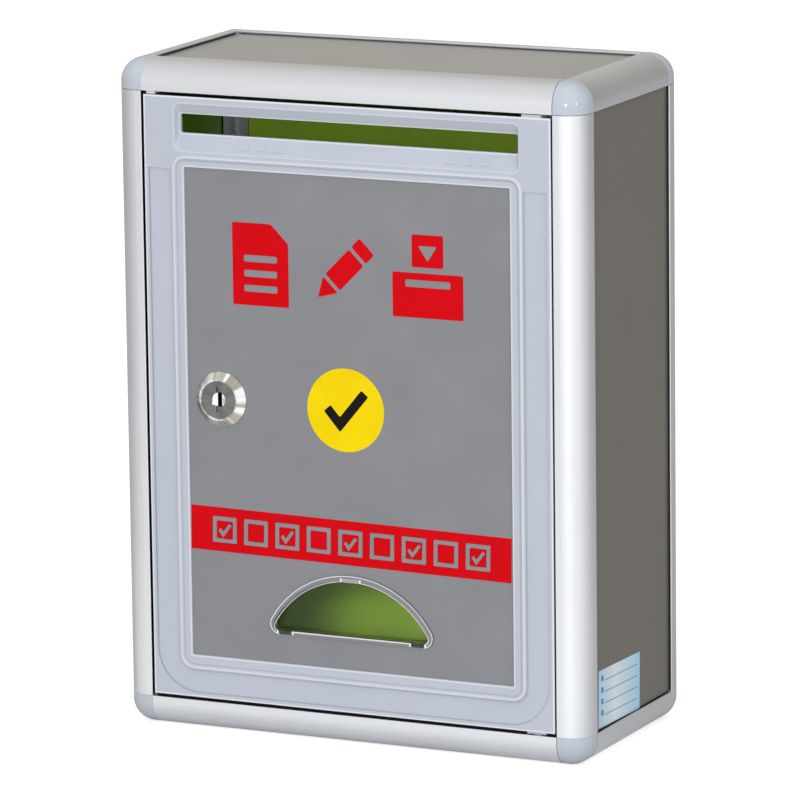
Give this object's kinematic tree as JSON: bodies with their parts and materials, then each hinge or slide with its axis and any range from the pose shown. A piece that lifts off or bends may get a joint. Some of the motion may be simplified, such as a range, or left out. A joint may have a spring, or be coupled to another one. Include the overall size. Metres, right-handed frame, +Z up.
{
  "type": "ballot box",
  "caption": "Upright wall-hung box of rounded metal edge profiles and sheet panels, with a front door that has a paper slot, a cam lock and a half-moon window.",
  "frame": {"origin": "middle of the footprint, on the surface that the bottom rails stand on", "axes": "+X to the right of someone facing the door, +Y to the rear, towards the wall, +Z up"},
  "size_m": [0.2394, 0.1186, 0.32],
  "materials": {
    "extrusion": "satin anodised",
    "corner_plastic": "moulded gloss",
    "case_sheet": "matt laminate, grey outside and green inside",
    "door_plastic": "fine moulded satin",
    "door_sheet": "matt printed sheet",
    "clear_window": "clear moulded acrylic",
    "chrome": "polished",
    "zinc_steel": "zinc plated",
    "nylon": "natural nylon"
  },
  "bodies": {
    "case": {"back_panel": "case_sheet", "bottom_panel": "case_sheet", "corner_bottom_front_left": "corner_plastic", "corner_bottom_front_right": "corner_plastic", "corner_bottom_rear_left": "corner_plastic", "corner_bottom_rear_right": "corner_plastic", "corner_top_front_left": "corner_plastic", "corner_top_front_right": "corner_plastic", "corner_top_rear_left": "corner_plastic", "corner_top_rear_right": "corner_plastic", "door_stop_clip": "nylon", "hinge_bush_lower": "nylon", "hinge_bush_upper": "nylon", "left_panel": "case_sheet", "post_front_left": "extrusion", "post_front_right": "extrusion", "post_rear_left": "extrusion", "post_rear_right": "extrusion", "rail_bottom_front": "extrusion", "rail_bottom_left": "extrusion", "rail_bottom_rear": "extrusion", "rail_bottom_right": "extrusion", "rail_top_front": "extrusion", "rail_top_left": "extrusion", "rail_top_rear": "extrusion", "rail_top_right": "extrusion", "right_panel": "case_sheet", "top_panel": "case_sheet"},
    "door": {"door_frame": "door_plastic", "door_panel": "door_sheet", "window_pane": "clear_window", "hinge_pin_upper": "zinc_steel", "hinge_pin_lower": "zinc_steel", "lock_housing": "chrome", "lock_washer": "zinc_steel", "lock_nut": "zinc_steel"},
    "lock_core": {"lock_plug": "chrome", "lock_cam": "zinc_steel", "cam_washer": "zinc_steel", "cam_screw": "zinc_steel"}
  },
  "joints": [
    {"name": "door_swing", "type": "hinge", "parent": "case", "child": "door", "pos_m": [0.0946, -0.0541, 0.16], "axis": [0, 0, 1], "range_deg": [0, 120]},
    {"name": "lock_turn", "type": "hinge", "parent": "door", "child": "lock_core", "pos_m": [-0.0662, -0.0574, 0.1612], "axis": [0, 1, 0], "range_deg": [0, 90]}
  ]
}
